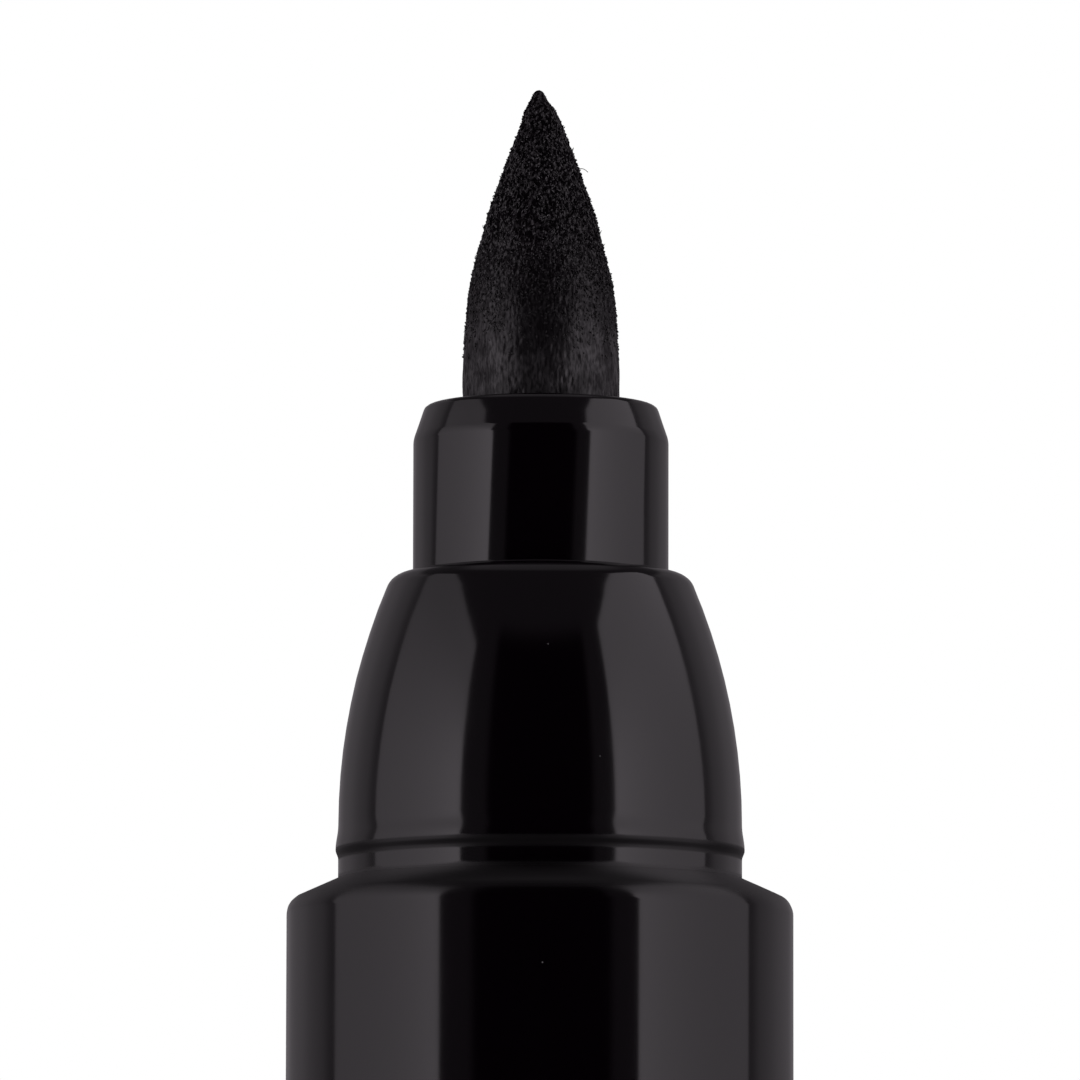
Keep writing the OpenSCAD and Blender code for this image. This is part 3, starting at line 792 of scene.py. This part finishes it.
def scatter(name, base, tree, values):
    """A plain mesh of the fibres that the tree scatters over the base."""
    modifier = base.modifiers.new(name, "NODES")
    modifier.node_group = tree
    for item in tree.interface.items_tree:
        if item.item_type == "SOCKET" and item.in_out == "INPUT" and item.name in values:
            modifier[item.identifier] = values[item.name]
    shown = base.evaluated_get(bpy.context.evaluated_depsgraph_get())
    mesh = bpy.data.meshes.new_from_object(shown)
    base.modifiers.remove(modifier)
    mesh.name = name
    made = bpy.data.objects.new(name, mesh)
    bpy.context.scene.collection.objects.link(made)
    return made


def stray_path(s, top):
    """A hair that leaves the felt's right side, rises a little and bends down."""
    forward, lift, bend = 0.2, 0.35, 0.75
    steps, sunk = 10, 2
    start = Vector((s.hair_out, 0, top - s.hair_drop))
    return [
        start + s.hair_length * Vector((t, -forward * t, lift * t - bend * t * t))
        for t in (i / steps for i in range(-sunk, steps + 1))
    ]


class PEN_OT_felt_nib(Operator):
    """Builds the felt nib and its fibres"""

    bl_idname = "pen.felt_nib"
    bl_label = "Felt nib"

    def execute(self, context):
        s = context.scene.pen_nib
        nib = turned("felt_nib", nib_outline(s), s.columns, felt("Felt", s), felt_place(s))
        rim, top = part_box("nib_holder")[1].z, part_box("nib")[1].z
        tree = fibre_tree(felt("Felt fibre ends", s, tone="tone"))
        cone = dict(Low=rim + s.ground_from, Fade=s.ground_to - s.ground_from, Slim=s.slim_reach)
        layers = {
            "nib_cut_ends": (s.end_length, s.end_width, s.end_spacing, s.end_lean),
            "nib_loose_fibres": (s.loose_length, s.loose_width, s.loose_spacing, s.loose_lean),
        }
        for place, (name, sizes) in enumerate(layers.items()):
            values = dict(zip(("Length", "Width", "Spacing", "Lean"), sizes), **cone)
            fibres = scatter(name, nib, tree, {**values, "Seed": s.seed + 10 * place})
            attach(fibres, "pen")
        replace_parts(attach(nib, "pen"), "nib")
        hair = tube(
            "nib_stray_hair", stray_path(s, top), s.hair_width / 2, sides=5,
            material=felt("Stray", s),
        )
        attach(hair, "pen")
        return {"FINISHED"}


# The other pieces

def round_edge(shape, height, radius):
    """Rounds the outermost edge that runs round the shape at this height."""
    ring = [v for v in shape.verts if abs(v.co.z - height) < RING]
    reach = max(v.co.xy.length for v in ring) - RING
    outer = {v for v in ring if v.co.xy.length > reach}
    bmesh.ops.bevel(
        shape, geom=[e for e in shape.edges if outer.issuperset(e.verts)], offset=radius,
        offset_type="OFFSET", segments=8, profile=0.5, affect="EDGES", clamp_overlap=True,
    )


def stretch(shape, span, new_span, beyond):
    """Moves the points between two heights, as far as they are beyond a distance from the axis."""
    for v in shape.verts:
        way = (v.co.z - span[0]) / (span[1] - span[0])
        if -SLACK < way < 1 + SLACK and v.co.xy.length > beyond:
            v.co.z = new_span[0] + way * (new_span[1] - new_span[0])


def shoulder_limit(s):
    """Gives the function of the most that the gloss may lean at a point, which is None away from
    the barrel's shoulder."""
    inner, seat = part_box("nose_cone")[1].x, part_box("barrel")[1].z
    low, high = (math.radians(t) for t in s.tilts)

    def limit(point):
        drop = seat - point.z
        if not (-FOOT < drop < s.shoulder and point.xy.length > SKIN * inner):
            return None
        if drop < s.crest:
            return low + (high - low) * max(0, drop) / s.crest
        return high * (s.shoulder - drop) / (s.shoulder - s.crest)

    return limit


def lean_back(mesh, limit):
    """Turns up-facing outer normals back to the lean that limit gives."""
    normals = []
    for loop, corner in zip(mesh.loops, mesh.corner_normals):
        normal = corner.vector.copy()
        point = mesh.vertices[loop.vertex_index].co
        out = point.xy.normalized()
        most = limit(point)
        if most is not None and normal.z > 0 and normal.xy.dot(out) > INWARD:
            if math.atan2(normal.z, normal.xy.length) > most:
                normal = Vector((*(out * math.cos(most)), math.sin(most)))
        normals.append(normal)
    mesh.normals_split_custom_set(normals)


def moulded(node, material, rounds=(), spans=(), limit=None):
    """A copy of a rigid CAD node, merged and smoothed, which stands for it. Spans gives what is
    stretched, rounds the height and the radius of each outer edge that is rounded, and limit the
    most that the normals may lean."""
    mesh = frame["nodes"][node].data.copy()
    shape = bmesh.new()
    shape.from_mesh(mesh)
    bmesh.ops.remove_doubles(shape, verts=shape.verts, dist=MERGE)
    for span, new_span, beyond in spans:
        stretch(shape, span, new_span, beyond)
    for height, radius in rounds:
        round_edge(shape, height, radius)
    shape.normal_update()
    for face in shape.faces:
        face.smooth = True
    for edge in shape.edges:
        edge.smooth = edge.calc_face_angle(0) < SHARP
    shape.to_mesh(mesh)
    shape.free()
    mesh.materials.clear()
    mesh.materials.append(material)
    rough = bpy.data.objects.new(f"{node}_rough", mesh)
    bpy.context.scene.collection.objects.link(rough)
    even = rough.modifiers.new("Even normals", "WEIGHTED_NORMAL")
    even.keep_sharp = True
    even.weight = 90
    shown = rough.evaluated_get(bpy.context.evaluated_depsgraph_get())
    finished = bpy.data.meshes.new_from_object(shown)
    bpy.data.objects.remove(rough)
    if limit:
        lean_back(finished, limit)
    made = bpy.data.objects.new(f"{node}_moulded", finished)
    bpy.context.scene.collection.objects.link(made)
    body = next(b for b, nodes in RECORD["behaviour"]["bodies"].items() if node in nodes)
    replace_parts(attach(made, body), node)


def dress(names, material):
    """Gives rigid CAD nodes their smooth copies and their finish."""
    for name in names:
        moulded(name, material)


class PEN_OT_black_shells(Operator):
    """Gives the nose, its collar, the barrel, the tail plug and the cap their gloss"""

    bl_idname = "pen.black_shells"
    bl_label = "Black shells"

    def execute(self, context):
        s = context.scene.pen_plastic
        nose = gloss_black("Gloss black nose", s, s.nose_gloss)
        dress(("tail_plug",), nose)
        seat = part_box("barrel")[1].z
        limit = shoulder_limit(s)
        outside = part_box("nose_cone")[1].x * SKIN
        low, high, sink = s.foot
        spans = [
            [seat + h for h in in_mm(span)]
            for span in (s.catch, s.ramp, (low, high, low - sink, high))
        ]
        moulded(
            "nose_cone", nose, spans=[(h[:2], h[2:], outside) for h in spans], limit=limit,
        )
        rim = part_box("nib_holder")[1].z
        corner, top = rim - s.chamfer, rim + s.rim_rise
        moulded(
            "nib_holder", nose, ((top, s.rim_edge), (corner, s.chamfer_edge)),
            [((corner, rim), (corner, top), 0)],
        )
        black = gloss_black("Gloss black barrel", s, s.barrel_gloss)
        moulded("barrel", black, limit=limit)
        dress(("cap_shell",), black)
        return {"FINISHED"}


class PEN_OT_ink_system(Operator):
    """Gives the feed core, the collector, the tank and the mixing balls their finish"""

    bl_idname = "pen.ink_system"
    bl_label = "Ink system"

    def execute(self, context):
        s = context.scene.pen_inside
        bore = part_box("ink_tank")[1].x - s.tank_wall
        dress(("feed_core",), fibre_rod("Fibre core", s))
        dress(("ink_collector",), natural_plastic("Collector plastic", s))
        dress(("ink_tank",), natural_plastic("Tank plastic", s, wet_from=bore))
        dress(("mixing_ball_1", "mixing_ball_2"), bright_steel("Ball steel", s))
        return {"FINISHED"}


class PEN_OT_inner_cap(Operator):
    """Finishes the inner cap and its sleeve, and winds the spring behind them"""

    bl_idname = "pen.inner_cap"
    bl_label = "Inner cap"

    turns: IntProperty(name="Turns", description="Turns of the spring", default=9)
    wire: length("Wire", "Thickness of the spring's wire", 0.5 * MM)
    end_rise: length("End rise", "Rise of the first and the last turn", 0.98 * MM)

    def spring_path(self, steps):
        """The wire's middle line, with the closed end turns and the open turns between them."""
        low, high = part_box("inner_cap_spring")
        radius = (high.x - low.x - self.wire) / 2
        start, height = low.z + self.wire / 2, high.z - low.z - self.wire
        open_rise = (height - 2 * self.end_rise) / (self.turns - 2)
        path = []
        for i in range(self.turns * steps + 1):
            t = i / steps
            z = start + min(t, 1) * self.end_rise
            z += min(max(t - 1, 0), self.turns - 2) * open_rise
            z += max(t - self.turns + 1, 0) * self.end_rise
            path.append(Vector((radius * math.cos(TURN * t), radius * math.sin(TURN * t), z)))
        return path

    def execute(self, context):
        s = context.scene.pen_inside
        dress(("inner_cap", "guide_sleeve"), natural_plastic("Inner cap plastic", s))
        steel = bright_steel("Spring steel", s, drawn=True)
        path = self.spring_path(steps=40)
        spring = tube("bright_spring", path, self.wire / 2, sides=14, material=steel)
        low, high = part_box("inner_cap_spring")
        slide = next(j for j in frame["joints"] if j["name"] == "inner_cap_slide")
        travel = max(slide["range_m"])
        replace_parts(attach(spring, "cap"), "inner_cap_spring")
        1 - travel / (high.z - low.z)
        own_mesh(spring)
        return {"FINISHED"}


# The stage

def reflected_only(obj):
    """The object shows in reflections and nowhere else."""
    obj.visible_camera = False
    obj.visible_diffuse = False
    obj.visible_transmission = False
    obj.visible_volume_scatter = False
    obj.visible_shadow = False


def panel_glow(name, s, back_y, front_y, nose, lights):
    """Light of a side panel: at the front and back edge low down, then high up."""
    m = Maker(name, "ShaderNodeEmission")
    y, z = m.axes()[1:]
    near = (back_y - y) / (back_y - front_y)
    high = (z - nose).step(*(part * s.reach for part in s.change))
    front_low, back_low, front_high, back_high = lights
    light = high.between(near.between(back_low, front_low), near.between(back_high, front_high))
    return m.set(Color=s.tint, Strength=light).material


def from_front(m):
    """The turn about the pen's axis, from the front to either side."""
    x, y = m.axes()[:2]
    return x.math("ABSOLUTE").math("ARCTAN2", y * -1)


def surround_glow(name, s, middle):
    """Light of the room: black in front, dim above it, grey behind and overhead. Its zones change
    between two angles, in degrees of climb or of turn from the front."""
    zones = {
        "high": (35, 41), "over": (54, 68),
        "front": (28, 33), "behind": (98, 108), "ring": (110, 120), "back": (135, 155),
    }
    m = Maker(name, "ShaderNodeEmission")
    climb = (m.axes()[2] - middle).math("ARCTAN2", m.from_axis())
    turn = from_front(m)

    def zone(value, kind):
        return value.step(*(math.radians(degrees) for degrees in zones[kind]))

    high = zone(climb, "high")
    edge, ring, rear = s.ring
    grey = zone(turn, "ring") * (ring - edge) - zone(turn, "back") * (ring - rear) + edge
    front = (1 - (1 - zone(turn, "front")) * (1 - high)) * s.dim
    back = high.between(grey * s.surround, s.dim)
    around = zone(turn, "behind").between(front, back)
    light = zone(climb, "over").between(around, s.overhead)
    return m.set(Color=s.tint, Strength=light).material


def below_glow(name, s):
    """Light of the floor in the gloss, with the side panels' shine away from the pen."""
    m = Maker(name, "ShaderNodeEmission")
    turn = from_front(m)
    front, back = math.atan2(1, s.front[0]), math.atan2(1, -s.back)
    soft = s.shine_edge
    band = turn.step(front - soft, front + soft) * (1 - turn.step(back - soft, back + soft))
    shine = (back - turn) * ((s.shine[0] - s.shine[1]) / (back - front)) + s.shine[1]
    away = m.from_axis().step(*(part * s.reach for part in s.shine_span))
    return m.set(Color=s.tint, Strength=band * away * shine + s.below).material


def floor_finish(name, s):
    """A pale matt floor, which turns white away from the pen where the camera sees it."""
    m = Maker(name, "ShaderNodeBsdfDiffuse")
    m.set(Color=s.floor)
    far = m.from_axis().step(*(part * s.reach for part in s.white_span))
    seen = m.node("ShaderNodeLightPath", output="Is Camera Ray")
    return m.veil(seen * far.between(s.white, 1), "ShaderNodeEmission").material


def square(edge, height):
    """The corners of a level square round the axis."""
    return [(x * edge, y * edge, height) for x, y in ((-1, -1), (1, -1), (1, 1), (-1, 1))]


def plate(name, corners, material):
    """One flat face, marked as part of the stage."""
    made = new_object(name, corners, [tuple(range(len(corners)))], material, smooth=False)
    made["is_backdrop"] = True
    return made


def surround_dome(name, radius, middle, material):
    """A sphere round the pen, seen from inside."""
    bpy.ops.mesh.primitive_uv_sphere_add(segments=48, ring_count=24, radius=radius)
    made = bpy.context.active_object
    made.name = name
    for v in made.data.vertices:
        v.co.z += middle
    made.data.materials.append(material)
    made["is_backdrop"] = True
    return made


def side_lamp(name, side, s, size, middle):
    """A soft lamp beside the pen that lights matt surfaces only."""
    data = bpy.data.lights.new(name, "AREA")
    data.shape = "RECTANGLE"
    data.size, data.size_y = size
    data.energy = s.lamp * math.pi * size[0] * size[1]
    lamp = bpy.data.objects.new(name, data)
    bpy.context.scene.collection.objects.link(lamp)
    lamp.location = (side * s.reach, middle.y, middle.z)
    lamp.rotation_euler = Vector((side, 0, 0)).to_track_quat("Z", "Y").to_euler()
    lamp.visible_glossy = False
    lamp.visible_camera = False


def studio_world(s):
    """White to the camera and in gloss and glass, and a plain level of light on matt surfaces."""
    world = bpy.data.worlds.new("Studio")
    world.use_nodes = True
    tree = world.node_tree
    shade = tree.nodes["Background"]
    path = tree.nodes.new("ShaderNodeLightPath")

    def larger(a, b):
        made = tree.nodes.new("ShaderNodeMath")
        made.operation = "MAXIMUM"
        tree.links.new(a, made.inputs[0])
        tree.links.new(b, made.inputs[1])
        return made.outputs[0]

    seen = larger(
        path.outputs["Is Camera Ray"],
        larger(path.outputs["Is Glossy Ray"], path.outputs["Is Transmission Ray"]),
    )
    level = tree.nodes.new("ShaderNodeMapRange")
    tree.links.new(seen, level.inputs["Value"])
    level.inputs["To Min"].default_value = s.level
    shade.inputs["Color"].default_value = (1, 1, 1, 1)
    tree.links.new(level.outputs[0], shade.inputs["Strength"])
    bpy.context.scene.world = world


def studio_camera(s):
    """The camera at the photograph's angle."""
    aim = Vector((0, 0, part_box("barrel")[1].z + s.aim))
    data = bpy.data.cameras.new("Camera")
    camera = bpy.data.objects.new("Camera", data)
    bpy.context.scene.collection.objects.link(camera)
    back = Vector((0, -math.cos(s.tilt), -math.sin(s.tilt)))
    camera.location = aim + s.distance * back
    camera.rotation_euler = (-back).to_track_quat("-Z", "Y").to_euler()
    camera.rotation_euler.rotate_axis("Z", s.roll)
    data.shift_x = -s.shift
    data.lens = data.sensor_width / 2 * s.distance / s.half_view
    data.clip_start, data.clip_end = 0.01, 20
    bpy.context.scene.camera = camera


class PEN_OT_stage(Operator):
    """Sets the camera, the light, the surround and the floor"""

    bl_idname = "pen.stage"
    bl_label = "Stage"

    def execute(self, context):
        s = context.scene.pen_stage
        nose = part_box("nose_cone")[1].z
        back_y = s.back * s.reach
        sides = ((-1, "left", s.left), (1, "right", s.right))
        for (side, name, lights), front, top in zip(sides, s.front, s.top):
            x, front_y, top = side * s.reach, -front * s.reach, nose + top * s.reach
            glow = panel_glow(f"Panel {name}", s, back_y, front_y, nose, lights)
            corners = [(x, front_y, 0), (x, back_y, 0), (x, back_y, top), (x, front_y, top)]
            reflected_only(plate(f"stage_panel_{name}", corners, glow))
            middle = Vector((0, (front_y + back_y) / 2, top / 2))
            side_lamp(f"Side lamp {name}", side, s, (back_y - front_y, top), middle)
        dome = surround_dome("stage_surround", s.room, nose, surround_glow("Surround", s, nose))
        reflected_only(dome)
        reflected_only(plate("stage_below", square(s.room, height=MM), below_glow("Below", s)))
        plate("stage_floor", square(s.floor_size, height=0), floor_finish("Floor", s))
        studio_world(s)
        studio_camera(s)
        context.scene.view_settings.view_transform = "Standard"
        return {"FINISHED"}


OPERATORS = (
    PEN_OT_felt_nib, PEN_OT_black_shells, PEN_OT_ink_system, PEN_OT_inner_cap, PEN_OT_stage,
)


class PEN_PT_maker(Panel):
    """Lists the steps that dress the pen."""

    bl_idname = "PEN_PT_maker"
    bl_label = "Eyeliner pen"
    bl_space_type = "VIEW_3D"
    bl_region_type = "UI"
    bl_category = "Eyeliner pen"

    def draw(self, context):
        for operator in OPERATORS:
            self.layout.operator(operator.bl_idname)


CLASSES = (*SETTINGS.values(), *OPERATORS, PEN_PT_maker)


def register():
    for item in CLASSES:
        bpy.utils.register_class(item)
    for name, group in SETTINGS.items():
        setattr(bpy.types.Scene, name, PointerProperty(type=group))


def unregister():
    for name in SETTINGS:
        delattr(bpy.types.Scene, name)
    for item in reversed(CLASSES):
        bpy.utils.unregister_class(item)


def main():
    """Dresses the pen step by step."""
    cad_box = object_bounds()
    register()
    bpy.ops.pen.stage()
    bpy.ops.pen.felt_nib()
    bpy.ops.pen.black_shells()
    bpy.ops.pen.ink_system()
    bpy.ops.pen.inner_cap()
    boxes = {"cad": cad_box, "visual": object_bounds()}
    {name: [list(corner) for corner in box] for name, box in boxes.items()}


if __name__ == "__main__":
    main()
